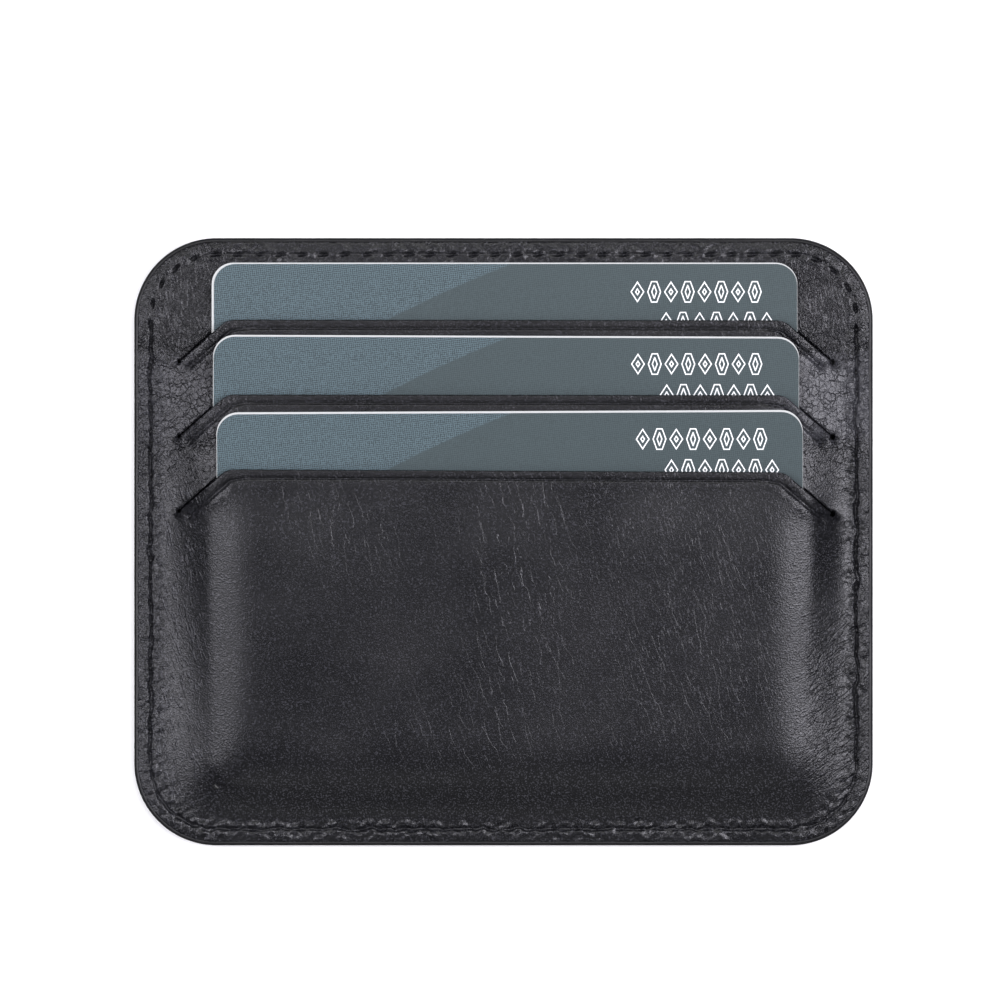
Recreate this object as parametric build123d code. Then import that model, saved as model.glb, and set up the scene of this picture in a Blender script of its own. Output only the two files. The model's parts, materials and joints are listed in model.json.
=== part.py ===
from build123d import *
import os
from math import atan2, cos, degrees, pi, radians, sin, tan

# Leather card holder with three slit pockets, lying on its back.
# Millimetres. +X to the right, +Y towards the pocket mouths, +Z out of the front.
# The origin is the centre of the back, on the surface that the holder lies on.

os.makedirs("parts", exist_ok=True)

# The holder's outline
holder_width = 108.0
holder_height = 88.8
corner_radius = 12.0

# Sheet thicknesses
front_leather = 0.9
back_leather = 1.0
lining_cloth = 0.2
pocket_cloth = 0.1
paint_coat = 0.12

# The rim, where the two leathers lie flat on each other
back_swell = 0.7
rim_bottom = back_swell
rim_middle = rim_bottom + back_leather
rim_top = rim_middle + front_leather

# The perimeter seam
seam_inset = 2.4
seam_groove_width = 0.7
seam_groove_depth = 0.3
stitch_pitch = 3.13
stitch_length = 2.3
stitch_width = 0.45
stitch_height = 0.22

# The slits: a straight mouth with a diagonal down to a round hole at each end
mouth_y = (32.45, 21.5, 10.42)
mouth_fall = (0.05, 0.05, 0.22)
mouth_centre_x = 0.3
mouth_half_width = 40.7
slit_end_x = (-47.4, 48.1)
slit_drop = 6.15
slit_gap = 0.2
slit_hole_radius = (0.4, 0.6)

# The cards, each 85.6 x 53.98 x 0.76
card_names = ("top", "middle", "bottom")
card_width = 85.6
card_height = 53.98
card_thickness = 0.76
card_corner = 3.18
print_film = 0.08
card_x = (0.15, 0.3, 1.0)
card_top_y = (40.8, 30.1, 19.1)
card_tilt = (1.0, 2.4, 3.8)
card_turn = (0.0, -0.2, 0.25)

# White margins that each card's front film leaves at its edges: left, right, top, bottom
film_margins = ((0.34, 0.05, 0.19, 0.15), (0.1, 0.05, 0.25, 0.15), (0.09, 0.05, 0.28, 0.15))
stripe_from_top = 5.5
stripe_height = 12.7
stripe_side_margin = 0.5
chip_width = 12.8
chip_height = 11.6
chip_corner = 1.6
chip_centre_x = 16.6
chip_from_top = 24.6
chip_depth = 0.25
chip_proud = 0.01

# Clearances
card_lift = 0.15
card_slack = 0.1
glue_gap = 0.02
side_slack = 0.8
fold_slack = 1.0
liner_side_slack = 0.3
liner_tuck = 4.0
liner_trim = 0.5
liner_corner_trim = 1.2

# The swell of the front over the cards: where each strip's side slopes start
foot_x = (49.0, 50.0, 50.7)
foot_y = -41.3
plateau_end_y = -37.0

corner_foot = 8.7
corner_lean = 36.0

# The swell of the back
back_foot = (50.5, 41.0)
back_flat = (45.0, 36.0)
back_foot_radius = 9.0
back_flat_radius = 5.0
lining_inset = 0.5


def slope(k):
    return tan(radians(card_tilt[k]))


def upright(k, thickness):
    """A thickness of card k's layers, measured straight up through their tilt."""
    return thickness / cos(radians(card_tilt[k]))


def stacked_levels():
    """Height of each card's underside and of each strip's top, both at the strip's own mouth."""
    undersides = []
    tops = []
    below = rim_top
    for k in range(3):
        underside = below + card_lift
        cloths = 2 if k < 2 else 1
        layers = card_thickness + card_slack + cloths * pocket_cloth + glue_gap + front_leather
        top = underside + upright(k, layers)
        undersides.append(underside)
        tops.append(top)
        if k < 2:
            below = top - (mouth_y[k] - mouth_y[k + 1]) * slope(k)
    return undersides, tops


card_underside, strip_top = stacked_levels()


def card_level(k, y):
    """Height of card k's underside at y."""
    return card_underside[k] + (y - mouth_y[k]) * slope(k)


def strip_level(k, y):
    """Height of strip k's top surface at y."""
    return strip_top[k] + (y - mouth_y[k]) * slope(k)


def rounded_plate(width, height, radius, bottom, top):
    return Pos(0, 0, bottom) * extrude(RectangleRounded(width, height, radius), top - bottom)


def outline_plate(inset, bottom, top):
    return rounded_plate(
        holder_width - 2 * inset, holder_height - 2 * inset, corner_radius - inset, bottom, top
    )


def ribbon(points, width):
    """Outline of a strip of even width along a chain of points, with mitred corners."""
    left = []
    right = []
    count = len(points)
    for i, (x, y) in enumerate(points):
        x0, y0 = points[max(i - 1, 0)]
        x1, y1 = points[min(i + 1, count - 1)]
        ahead = atan2(y1 - y, x1 - x) if i < count - 1 else atan2(y - y0, x - x0)
        behind = atan2(y - y0, x - x0) if i > 0 else ahead
        middle = (ahead + behind) / 2
        reach = width / 2 / cos((ahead - behind) / 2)
        left.append((x - reach * sin(middle), y + reach * cos(middle)))
        right.append((x + reach * sin(middle), y - reach * cos(middle)))
    return left + right[::-1]


def below_plane(solid, point, normal):
    """What is left of a solid on the inner side of a plane."""
    return split(solid, bisect_by=Plane(origin=point, z_dir=normal), keep=Keep.BOTTOM)


def slit_path(k):
    """The cut of slit k, from its left hole to its right hole."""
    left_y = mouth_y[k] + mouth_fall[k]
    right_y = mouth_y[k] - mouth_fall[k]
    return [
        (slit_end_x[0], left_y - slit_drop),
        (mouth_centre_x - mouth_half_width, left_y),
        (mouth_centre_x + mouth_half_width, right_y),
        (slit_end_x[1], right_y - slit_drop),
    ]


def strip_tile(k):
    """The upright block over strip k, from its own mouth down to the next one."""
    side = holder_width
    path = slit_path(k)
    across = [(-side, path[0][1])] + path + [(side, path[-1][1])]
    if k < 2:
        lower = slit_path(k + 1)
        back = [(side, lower[-1][1])] + lower[::-1] + [(-side, lower[0][1])]
    else:
        back = [(side, -side), (-side, -side)]
    face = make_face(Polyline(*across, *back, close=True))
    return Pos(0, 0, rim_middle - 1) * extrude(face, 20)


def swell(k, depth, floor):
    """The block under strip k's surface, or under its inner face when depth is the leather."""
    plateau = card_width / 2 + side_slack
    tall = 12.0
    block = Pos(0, 0, floor) * Box(
        2 * foot_x[k] + 6, 120, tall, align=(Align.CENTER, Align.CENTER, Align.MIN)
    )
    rise = card_tilt[k]
    down = Vector(0, -sin(radians(rise)), cos(radians(rise)))
    top_point = Vector(0, mouth_y[k], strip_top[k]) - down * depth
    block = below_plane(block, top_point, down)
    for side in (-1, 1):
        run = foot_x[k] - (plateau + side * card_x[k])
        lean = atan2(strip_top[k] - rim_top, run)
        out = Vector(side * sin(lean), 0, cos(lean))
        block = below_plane(block, Vector(side * foot_x[k], 0, rim_top) - out * depth, out)
    if k == 2:
        lean = atan2(strip_level(2, plateau_end_y) - rim_top, plateau_end_y - foot_y)
        out = Vector(0, -sin(lean), cos(lean))
        block = below_plane(block, Vector(0, foot_y, rim_top) - out * depth, out)
        for side in (-1, 1):
            block = below_corner(block, side, depth)
    return block


def below_corner(block, side, depth):
    """Cuts the lower corner of the swell across, so that it stays inside the rounded outline."""
    lean = radians(corner_lean)
    reach = corner_foot * cos(pi / 4)
    foot = Vector(
        side * (holder_width / 2 - corner_radius + reach),
        corner_radius - holder_height / 2 - reach,
        rim_top,
    )
    flat = sin(lean) * cos(pi / 4)
    out = Vector(side * flat, -flat, cos(lean))
    return below_plane(block, foot - out * depth, out)


def front_panel():
    """One piece of leather with three slits, raised over the cards."""
    panel = outline_plate(paint_coat, rim_middle, rim_top)
    for k in range(3):
        panel += swell(k, 0, rim_middle) & strip_tile(k)
    for k in range(3):
        panel -= swell(k, front_leather, rim_middle - 0.5) & strip_tile(k)
    for k in range(3):
        path = slit_path(k)
        cut = extrude(make_face(Polyline(*ribbon(path, slit_gap), close=True)), 20)
        panel -= cut
        for (x, y), radius in zip((path[0], path[-1]), slit_hole_radius):
            panel -= Pos(x, y, 10) * Cylinder(radius, 20)
    return panel - seam_groove(rim_top - seam_groove_depth, rim_top + 1)


def back_swell_block(bottom, top):
    """A shallow tray shape, smaller at its bottom."""
    low = Pos(0, 0, bottom) * RectangleRounded(2 * back_flat[0], 2 * back_flat[1], back_flat_radius)
    high = Pos(0, 0, top) * RectangleRounded(2 * back_foot[0], 2 * back_foot[1], back_foot_radius)
    return loft([low, high], ruled=True)


def back_panel():
    """The plain back, swelled out a little under the cards."""
    panel = outline_plate(paint_coat, rim_bottom, rim_middle)
    panel += back_swell_block(0, rim_bottom)
    panel -= back_swell_block(back_leather, rim_middle)
    return panel - seam_groove(rim_bottom - 1, rim_bottom + seam_groove_depth)


def back_lining():
    """The cloth glued inside the back."""
    width = 2 * (back_flat[0] - lining_inset)
    height = 2 * (back_flat[1] - lining_inset)
    radius = back_flat_radius - lining_inset
    return rounded_plate(width, height, radius, back_leather, back_leather + lining_cloth)


def edge_paint():
    """The coat on the cut edges of both leathers."""
    return outline_plate(0, rim_bottom, rim_top) - outline_plate(paint_coat, rim_bottom - 1, rim_top + 1)


def fold_y(k):
    """Where pocket liner k folds, just below card k's lower edge."""
    return card_top_y[k] - card_height * cos(radians(card_tilt[k])) - fold_slack


def liner_route(k):
    """Middle line of pocket liner k in the YZ plane, from its tucked top round to its front top."""
    half = pocket_cloth / 2
    tuck_y = mouth_y[k] + liner_tuck
    if k == 0:
        back = [(tuck_y, rim_middle - half), (mouth_y[0] - fold_slack, rim_middle - half)]
    else:
        over = upright(k - 1, card_thickness + card_slack + pocket_cloth + glue_gap / 2 + half)
        turn_y = fold_y(k - 1) - pocket_cloth
        back = [(y, card_level(k - 1, y) + over) for y in (tuck_y, turn_y)]
    gap = upright(k, card_thickness + card_slack + half)
    front_y = mouth_y[k] - mouth_fall[k] - liner_trim
    return back + [
        (fold_y(k), card_level(k, fold_y(k)) - card_slack - half),
        (fold_y(k), card_level(k, fold_y(k)) + gap),
        (front_y, card_level(k, front_y) + gap),
    ]


def pocket_liner(k):
    """A folded cloth bag: its back leg tucks under the strip above, its front leg under its own."""
    half = card_width / 2 + liner_side_slack
    points = [(card_x[k], y, z) for y, z in ribbon(liner_route(k), pocket_cloth)]
    face = make_face(Polyline(*points, close=True))
    cloth = extrude(face, half, dir=(1, 0, 0), both=True)
    trimmed = slit_path(k)
    for end, inner in ((trimmed[0], trimmed[1]), (trimmed[-1], trimmed[-2])):
        corner = [inner, end, (end[0], inner[1])]
        face = make_face(Polyline(*[(x, y - liner_corner_trim) for x, y in corner], close=True))
        cloth -= Pos(0, 0, card_level(k, end[1])) * extrude(face, 10)
    return cloth


def seam_outline(inset):
    return RectangleRounded(
        holder_width - 2 * inset, holder_height - 2 * inset, corner_radius - inset
    )


def seam_groove(bottom, top):
    half = seam_groove_width / 2
    ring = seam_outline(seam_inset - half) - seam_outline(seam_inset + half)
    return Pos(0, 0, bottom) * extrude(ring, top - bottom)


def stitches(bottom):
    """One row of stitches round the rim, each its own short solid in the groove."""
    wire = seam_outline(seam_inset).wire()
    count = round(wire.length / stitch_pitch)
    row = []
    for i in range(count):
        share = i / count
        at = wire.position_at(share)
        along = wire.tangent_at(share)
        angle = degrees(atan2(along.Y, along.X))
        stitch = Box(
            stitch_length, stitch_width, stitch_height, align=(Align.CENTER, Align.CENTER, Align.MIN)
        )
        row.append(Pos(at.X, at.Y, bottom) * Rot(0, 0, angle) * stitch)
    return Compound(children=row)


def on_card(k, shape):
    """Moves a shape from the card's own frame, with its top edge's middle at the origin."""
    top_edge = Pos(card_x[k], card_top_y[k], card_level(k, card_top_y[k]))
    middle = Pos(0, -card_height / 2, 0)
    turned = middle * Rot(0, 0, card_turn[k]) * middle.inverse()
    return top_edge * Rot(card_tilt[k], 0, 0) * turned * shape


def card_plate(bottom, top, margins=(0, 0, 0, 0)):
    """A slab of the card's outline, drawn in by margins at its left, right, top and bottom."""
    left, right, upper, lower = margins
    width = card_width - left - right
    height = card_height - upper - lower
    centre = Pos((left - right) / 2, -card_height / 2 + (lower - upper) / 2, bottom)
    radius = card_corner - min(margins)
    return centre * extrude(RectangleRounded(width, height, radius), top - bottom)


def chip_plate(bottom, top):
    centre = Pos(-card_width / 2 + chip_centre_x, -chip_from_top, bottom)
    return centre * extrude(RectangleRounded(chip_width, chip_height, chip_corner), top - bottom)


def stripe_plate(bottom, top):
    centre = Pos(0, -stripe_from_top - stripe_height / 2, (bottom + top) / 2)
    return centre * Box(card_width - 2 * stripe_side_margin, stripe_height, top - bottom)


def card_pieces(k):
    """The five pieces of card k, in the card's own frame."""
    face = card_thickness - print_film
    chip_bottom = card_thickness - chip_depth
    return {
        "core": card_plate(print_film, face) - chip_plate(chip_bottom, card_thickness),
        "front_print": card_plate(face, card_thickness, film_margins[k])
        - chip_plate(face, card_thickness),
        "back_print": card_plate(0, print_film) - stripe_plate(0, print_film),
        "stripe": stripe_plate(0, print_film),
        "chip": chip_plate(chip_bottom, card_thickness + chip_proud),
    }


def write(shape, name):
    export_step(shape, f"parts/{name}.step")


write(front_panel(), "front_panel")
write(back_panel(), "back_panel")
write(back_lining(), "back_lining")
write(edge_paint(), "edge_paint")
write(stitches(rim_top - seam_groove_depth), "needle_thread")
write(stitches(rim_bottom + seam_groove_depth - stitch_height), "bobbin_thread")
for k, name in enumerate(card_names):
    write(pocket_liner(k), f"pocket_liner_{name}")
    for piece, shape in card_pieces(k).items():
        write(on_card(k, shape), f"{name}_card_{piece}")
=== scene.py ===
import json
import math

import bpy
import numpy as np
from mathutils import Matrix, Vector, kdtree
from mathutils.geometry import delaunay_2d_cdt


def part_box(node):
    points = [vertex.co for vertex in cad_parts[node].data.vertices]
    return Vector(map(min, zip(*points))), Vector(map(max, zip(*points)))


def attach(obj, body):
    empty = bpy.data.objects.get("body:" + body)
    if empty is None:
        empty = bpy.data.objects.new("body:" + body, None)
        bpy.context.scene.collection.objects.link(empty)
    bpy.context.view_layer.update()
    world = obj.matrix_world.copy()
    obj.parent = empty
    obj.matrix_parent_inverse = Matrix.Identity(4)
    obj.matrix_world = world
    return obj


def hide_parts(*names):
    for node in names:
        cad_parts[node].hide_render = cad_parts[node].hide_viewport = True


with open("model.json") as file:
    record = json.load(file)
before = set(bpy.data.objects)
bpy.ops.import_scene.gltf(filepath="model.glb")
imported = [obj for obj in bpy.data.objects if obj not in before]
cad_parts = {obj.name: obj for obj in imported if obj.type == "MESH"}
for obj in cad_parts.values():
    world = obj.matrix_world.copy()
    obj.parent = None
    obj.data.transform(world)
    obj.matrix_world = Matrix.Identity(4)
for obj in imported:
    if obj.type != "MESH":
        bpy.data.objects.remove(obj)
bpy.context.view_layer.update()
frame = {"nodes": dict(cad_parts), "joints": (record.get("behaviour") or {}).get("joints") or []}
metre = 1000             # shapes are worked out in millimetres and written in metres

cardNames = ["top", "middle", "bottom"]
cardStock = {"film": 0.08, "thick": 0.76}      # the front film alone, and the whole card


def cadBoxMm(node):
    low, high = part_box(node)
    return np.array(low) * metre, np.array(high) * metre


coatLow, coatHigh = cadBoxMm("edge_paint")
halfWidth, halfHeight = coatHigh[0], coatHigh[1]
rimLow, rimHigh = coatLow[2], coatHigh[2]
jointAxis = {j["child"]: j["axis"] for j in frame["joints"]}


def cardPlace(name):
    low, high = cadBoxMm(f"{name}_card_core")
    axis = jointAxis[f"{name}_card"]
    return {
        "left": low[0], "right": high[0], "bottomY": low[1], "topY": high[1],
        "topZ": high[2] + cardStock["film"], "slope": axis[2] / axis[1], "thick": cardStock["thick"],
    }


cards = [cardPlace(name) for name in cardNames]


def cardLevel(card, y):
    return card["topZ"] + (y - card["topY"]) * card["slope"]


plan = {
    "cornerRadius": 12.0,
    "trimInset": 0.32,         # how far the leather's cut edge stands inside the edge coat
    "seamInset": 2.4,
    "stitches": 114,
    "columnsPerStitch": 10,
    "mouthY": [32.45, 21.5, 10.42],
    "mouthFall": [0.05, 0.05, 0.22],   # how much the mouth's left end stands above its middle
    "mouthLeft": -40.4,
    "mouthRight": 41.0,
    "mouthBend": 3.0,          # radius of the turn from the mouth to its diagonals
    "slitLeft": -47.4,
    "slitRight": 48.1,
    "slitDrop": 6.15,
    "slitHalfGap": 0.06,
    "leftHole": 0.27,
    "rightHole": 0.42,
    "creaseOnMouth": 1.3,      # distance of the pressed line from the cut, along the mouth
    "creaseOnSides": 1.62,     # and along the diagonals
    "creaseShort": 0.7,        # how far before the slit's end the pressed line stops
    "cutSpacing": 0.4,         # of the points along the cut
    "holeSteps": 14,
}


def loopBase(count):
    # the middle line of the seam: for each step, a point of the inner rectangle and the outward normal
    radius = plan["cornerRadius"]
    sx, sy = halfWidth - radius, halfHeight - radius
    arc = math.pi / 2 * (radius - plan["seamInset"])
    parts = [(2 * sx, 0), (arc, 1), (2 * sy, 0), (arc, 1), (2 * sx, 0), (arc, 1), (2 * sy, 0), (arc, 1)]
    corners = [(-sx, sy), (sx, sy), (sx, -sy), (-sx, -sy)]
    total = sum(length for length, kind in parts)
    base, normal = np.zeros((count, 2)), np.zeros((count, 2))
    steps = np.arange(count) * total / count
    start = 0.0
    for index, (length, kind) in enumerate(parts):
        inside = (steps >= start - 1e-9) & (steps < start + length - 1e-9)
        share = (steps[inside] - start) / length
        side = index // 2
        a, b = np.array(corners[side]), np.array(corners[(side + 1) % 4])
        angle = math.pi / 2 * (1 - side)
        if kind == 0:
            base[inside] = a + (b - a) * share[:, None]
            normal[inside] = (math.cos(angle), math.sin(angle))
        else:
            base[inside] = b
            turned = angle - math.pi / 2 * share
            normal[inside] = np.stack([np.cos(turned), np.sin(turned)], 1)
        start += length
    return base, normal, total


def ring(inset, every=1):
    return (seamBase + seamNormal * (plan["cornerRadius"] - inset))[::every]


columns = plan["stitches"] * plan["columnsPerStitch"]
seamBase, seamNormal, seamLength = loopBase(columns)


def bendCorners(path, radius, steps=6):
    # rounds the inner corners of a path
    made = [path[0]]
    for a, b, c in zip(path[:-2], path[1:-1], path[2:]):
        u, v = (a - b) / np.linalg.norm(a - b), (c - b) / np.linalg.norm(c - b)
        half = math.acos(np.clip(u @ v, -1, 1)) / 2
        reach = radius / math.tan(half)
        t = (np.arange(steps + 1) / steps)[:, None]
        made += list((b + u * reach) * (1 - t) ** 2 + b * 2 * t * (1 - t) + (b + v * reach) * t ** 2)
    return np.array(made + [path[-1]])


def slitPath(k):
    y, fall, drop = plan["mouthY"][k], plan["mouthFall"][k], plan["slitDrop"]
    return bendCorners(np.array([
        (plan["slitLeft"], y + fall - drop), (plan["mouthLeft"], y + fall),
        (plan["mouthRight"], y - fall), (plan["slitRight"], y - fall - drop),
    ]), plan["mouthBend"])


def offsetPath(path, gaps):
    # moves each run of a path sideways by its own gap (plus is to the left, looking along it)
    runs = []
    for a, b, gap in zip(path[:-1], path[1:], gaps):
        along = (b - a) / np.linalg.norm(b - a)
        across = np.array((-along[1], along[0])) * gap
        runs.append((a + across, b + across, along))
    points = [runs[0][0]]
    for (a, b, u), (c, d, v) in zip(runs[:-1], runs[1:]):
        t = np.linalg.solve(np.stack([u, -v], 1), c - a)[0]
        points.append(a + u * t)
    return np.array(points + [runs[-1][1]])


def resample(path, spacing):
    pieces = []
    for a, b in zip(path[:-1], path[1:]):
        n = max(1, round(np.linalg.norm(b - a) / spacing))
        pieces.append(a + (b - a) * (np.arange(n) / n)[:, None])
    return np.concatenate(pieces + [path[-1:]])


def shorten(path, start, end):
    path = path.copy()
    for tip, near, cut in ((0, 1, start), (-1, -2, end)):
        run = path[near] - path[tip]
        path[tip] += run / np.linalg.norm(run) * cut
    return path


def distanceTo(points, path):
    # distance of each point from a path, and the index of the nearest run
    best = np.full(len(points), 1e9)
    which = np.zeros(len(points), int)
    for i, (a, b) in enumerate(zip(path[:-1], path[1:])):
        run = b - a
        t = np.clip(((points - a) @ run) / (run @ run), 0, 1)
        gap = np.linalg.norm(points - a - t[:, None] * run, axis=1)
        nearer = gap < best
        best[nearer], which[nearer] = gap[nearer], i
    return best, which


slits = [slitPath(k) for k in range(3)]


def alongSlit(path, gap):
    # a line that keeps the same distance from a path all along
    return offsetPath(path, [gap] * (len(path) - 1))


def creasePath(k):
    count = len(slits[k]) - 1
    middle = count // 2
    gaps = [-plan["creaseOnSides"]] * count
    gaps[middle] = -plan["creaseOnMouth"]
    blend = (plan["creaseOnMouth"] + plan["creaseOnSides"]) / 2
    gaps[middle - 1] = gaps[middle + 1] = -blend
    return shorten(offsetPath(slits[k], gaps), plan["creaseShort"], plan["creaseShort"])


creases = [creasePath(k) for k in range(3)]


def tileOf(points):
    # 0 above the first slit, then 1 to 3
    tile = np.zeros(len(points), int)
    for path in slits:
        xs = np.concatenate([[-99], path[:, 0], [99]])
        ys = np.concatenate([[path[0, 1]], path[:, 1], [path[-1, 1]]])
        tile += points[:, 1] < np.interp(points[:, 0], xs, ys)
    return tile


holeRadii = [plan["leftHole"], plan["rightHole"]]


def slitEnds(k):
    # both ends of a slit, each with the radius of its hole
    return zip((slits[k][0], slits[k][-1]), holeRadii)


def slitClearance(points, k):
    # distance from the cut's edge or the edge of its holes, whichever is nearer
    gap = distanceTo(points, slits[k])[0] - plan["slitHalfGap"]
    for end, radius in slitEnds(k):
        gap = np.minimum(gap, np.linalg.norm(points - end, axis=1) - radius)
    return gap


def slitLoop(k):
    # the cut itself, as a closed thin loop with a round hole at each end
    gap = plan["slitHalfGap"]
    loop = []
    for sign, order in ((1, 1), (-1, -1)):
        edge = alongSlit(slits[k], sign * gap)
        cuts = [math.sqrt(r * r - gap * gap) for r in holeRadii]
        points = resample(shorten(edge, cuts[0], cuts[1]), plan["cutSpacing"])[::order]
        loop.append(points)
        end = slits[k][-1 if sign > 0 else 0]
        radius = holeRadii[1 if sign > 0 else 0]
        a0 = math.atan2(*(points[-1] - end)[::-1])
        inner = slits[k][-2 if sign > 0 else 1] - end
        axis = math.atan2(inner[1], inner[0])
        a1 = 2 * axis - a0
        turn = (a1 - a0) % (2 * math.pi) - 2 * math.pi
        angles = a0 + turn * np.arange(1, plan["holeSteps"]) / plan["holeSteps"]
        loop.append(end + radius * np.stack([np.cos(angles), np.sin(angles)], 1))
    return np.concatenate(loop)


front = {
    "thick": 0.9,
    "liftOverCard": 0.27,
    "bulge": [0.0, 0.1, 0.6],  # how much further each strip swells below its mouth
    "bulgeFrom": 1.2,          # where that swelling starts below the mouth, and how long it takes
    "bulgeOver": 10,
    "bulgeInwards": 1.9,       # how much further in a swollen strip becomes level
    "shoulderLeft": 1.2,       # how far inside the card's side edge the leather becomes level
    "shoulderRight": 0.8,
    "rollInside": 0.7,         # where the leather starts to roll over a card's edge
    "rollRadius": 3.0,
    "rollBlend": 0.3,
    "rollEnd": 6,              # the card's edge has no say below this depth
    "cardCorner": 3.2,
    "clearOver": 0.1,          # least gap above a card and below one
    "clearUnder": 0.05,
    "outerHigh": 50.8,         # where the steep part of the left slope starts, at the last slit
    "outerLow": 48.5,          # and further down
    "lowerFrom": [2, 20],      # height at which the change between the two starts, and its length
    "steepLeft": 0.35,         # how much the steep part leans towards the card further down
    "gentle": 0.36,            # share of the left slope's height in its gentle foot
    "gentleAbove": 0.25,       # how much of that is left beside the slits
    "rampRight": 0.95,         # how even the slope is in the lower right
    "rampFrom": [-4, 16],
    "footLeft": 51.1,          # where the leather starts to rise, from the middle
    "footRight": 51.4,
    "footBottom": 41.6,
    "levelBottom": 32.2,
    "joinWidth": [0.5, 1.7],   # of the change from strip to strip, and its growth for each mm beyond
    "joinReach": 5.2,
    "lipRadius": 0.17,
    "rimRadius": 0.3,
    "rimFall": 0.25,           # how far the rim bends down between the seam and its edge
    "rimFallFrom": [2.05, 1.7],
    "rimFallCurve": 1.6,
    "seamClear": 2.9,          # the leather lies flat on the rim out to here
    "creaseDepth": [0.19, 0.34],       # along the mouth, along the diagonals
    "creaseWidth": [0.17, 0.33],
    "creaseRidge": 0.07,
    "ridgeAt": 0.6,
    "ridgeWide": 0.28,
    "creaseDot": 0.22,
    "dotWide": 0.42,
    "grooveDepth": [0.03, 0.55, 0.28],   # along the top, the sides and the bottom
    "grooveWidth": 0.2,
    "grooveWander": 0.12,
    "holeDepth": [0.75, 0.25, 0.3],
    "holeLong": 0.55,
    "holeWide": 0.2,
    "holeTurn": -12,
    "pucker": [0.03, 0.08, 0.08],
    "lumps": 0.085,
    "pace": 0.5,               # how quickly the leather settles
    "relaxSteps": 36,
    "relaxUnder": 8,
    "waves": 0.05,             # height of the broad unevenness
    "waveCount": 9,
    "wavePitch": (14, 34),
    "fan": 0.035,              # height of the wrinkles that run out from the slits' ends
    "fanRidges": (11, 19),
    "fanAt": 2.6,              # where they are highest, from the slit's end
    "fanWide": 1.7,
    "seed": 11,
}

frontMesh = {                  # where the points of the front leather lie
    "rings": [                 # insets from the outline
        0.36, 0.44, 0.56, 0.75, 1.0, 1.28, 1.55, 1.78, 1.96, 2.1, 2.22, 2.32, 2.4, 2.48, 2.58, 2.7,
        2.84, 3.02, 3.25, 3.5, 3.8, 4.15, 4.6,
    ],
    "besideSlit": [-0.05, -0.12, -0.22, -0.4, -0.7, 0.05, 0.12, 0.22, 0.42, 0.8, 1.3],
    "besideCrease": [-0.5, -0.34, -0.2, -0.1, 0, 0.1, 0.2, 0.34, 0.5],
    "alongSlit": 0.46,
    "alongCrease": 0.5,
    "field": 0.86,             # spacing of the points between all these
    "apart": [0.06, 0.045, 0.07, 0.48],      # least distance of rings, slits, creases and field
    "fromCut": 0.03,
    "fromRim": 0.02,
}


def smoothStep(t):
    t = np.clip(t, 0, 1)
    return t * t * (3 - 2 * t)


def softStep(t):
    t = np.clip(t, 0, 1)
    return t ** 3 * (t * (6 * t - 15) + 10)


def frontRise(points, k):
    # height of strip k's leather, before it settles
    card = cards[k]
    x, y = points[:, 0], points[:, 1]
    outward = np.abs(x)
    below = plan["mouthY"][k] - front["bulgeFrom"] - y
    bulge = front["bulge"][k] * softStep(below / front["bulgeOver"])
    level = cardLevel(card, y) + front["liftOverCard"] + bulge + front["thick"]
    foot = np.where(x < 0, front["footLeft"], front["footRight"])
    shoulder = np.where(x < 0, front["shoulderLeft"], front["shoulderRight"])
    within = shoulder + bulge * front["bulgeInwards"]
    inner = np.where(x < 0, -card["left"], card["right"]) - within
    share = np.clip((foot - outward) / (foot - inner), 0, 1)
    start, length = front["lowerFrom"]
    lower = smoothStep((start - y) / length)
    outer = front["outerHigh"] + (front["outerLow"] - front["outerHigh"]) * lower
    late = np.clip((outer - outward) / (outer - inner), 0, 1) ** (1 + front["steepLeft"] * lower)
    down = np.clip((front["footBottom"] + y) / (front["footBottom"] - front["levelBottom"]), 0, 1)

    def cornered(across):
        # the level part ends in a rounded corner
        return np.clip(1 - ((1 - across) ** 3 + (1 - down) ** 3) ** (1 / 3), 0, 1)

    gentle = front["gentle"] * (front["gentleAbove"] + (1 - front["gentleAbove"]) * lower)
    left = softStep(cornered(late)) * (1 - gentle) + smoothStep(cornered(share)) * gentle
    start, length = front["rampFrom"]
    plain = smoothStep((start - y) / length) * front["rampRight"]
    right = softStep(cornered(share)) * (1 - plain) + smoothStep(cornered(share)) * plain
    return rimHigh + (level - rimHigh) * np.where(x < 0, left, right)


def joinStrips(points, tile, rises):
    # beyond the slits' ends each strip runs smoothly into the next
    z = np.choose(tile, rises)
    x, y = points[:, 0], points[:, 1]
    least, growth = front["joinWidth"]
    for k in range(3):
        for end, _ in slitEnds(k):
            beyond = (x - end[0]) * np.sign(end[0])
            wide = least + growth * np.maximum(beyond, 0)
            share = smoothStep((end[1] - y) / wide + 0.5)
            mixed = rises[k] * (1 - share) + rises[k + 1] * share
            near = (beyond > 0) & (np.abs(y - end[1]) < front["joinReach"])
            z = np.where(near, mixed, z)
    return z


def unevenness(points):
    # broad soft waves, and wrinkles that fan out from the slits' ends
    rng = np.random.default_rng(front["seed"])
    x, y = points[:, 0], points[:, 1]
    total = np.zeros(len(points))
    for _ in range(front["waveCount"]):
        angle, phase = rng.uniform(0, math.pi), rng.uniform(0, 2 * math.pi)
        turnRate = 2 * math.pi / rng.uniform(*front["wavePitch"])
        total += np.sin((x * math.cos(angle) + y * math.sin(angle)) * turnRate + phase)
    total *= front["waves"] / 3
    many, more = front["fanRidges"]
    for k in range(3):
        for end, _ in slitEnds(k):
            dx, dy = x - end[0], y - end[1]
            turn = np.arctan2(dy, dx)
            ridges = np.sin(turn * many + rng.uniform(0, 6))
            ridges = ridges + 0.6 * np.sin(turn * more + rng.uniform(0, 6))
            away = (np.hypot(dx, dy) - front["fanAt"]) / front["fanWide"]
            total += front["fan"] * ridges * np.exp(-away ** 2)
    return total


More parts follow.
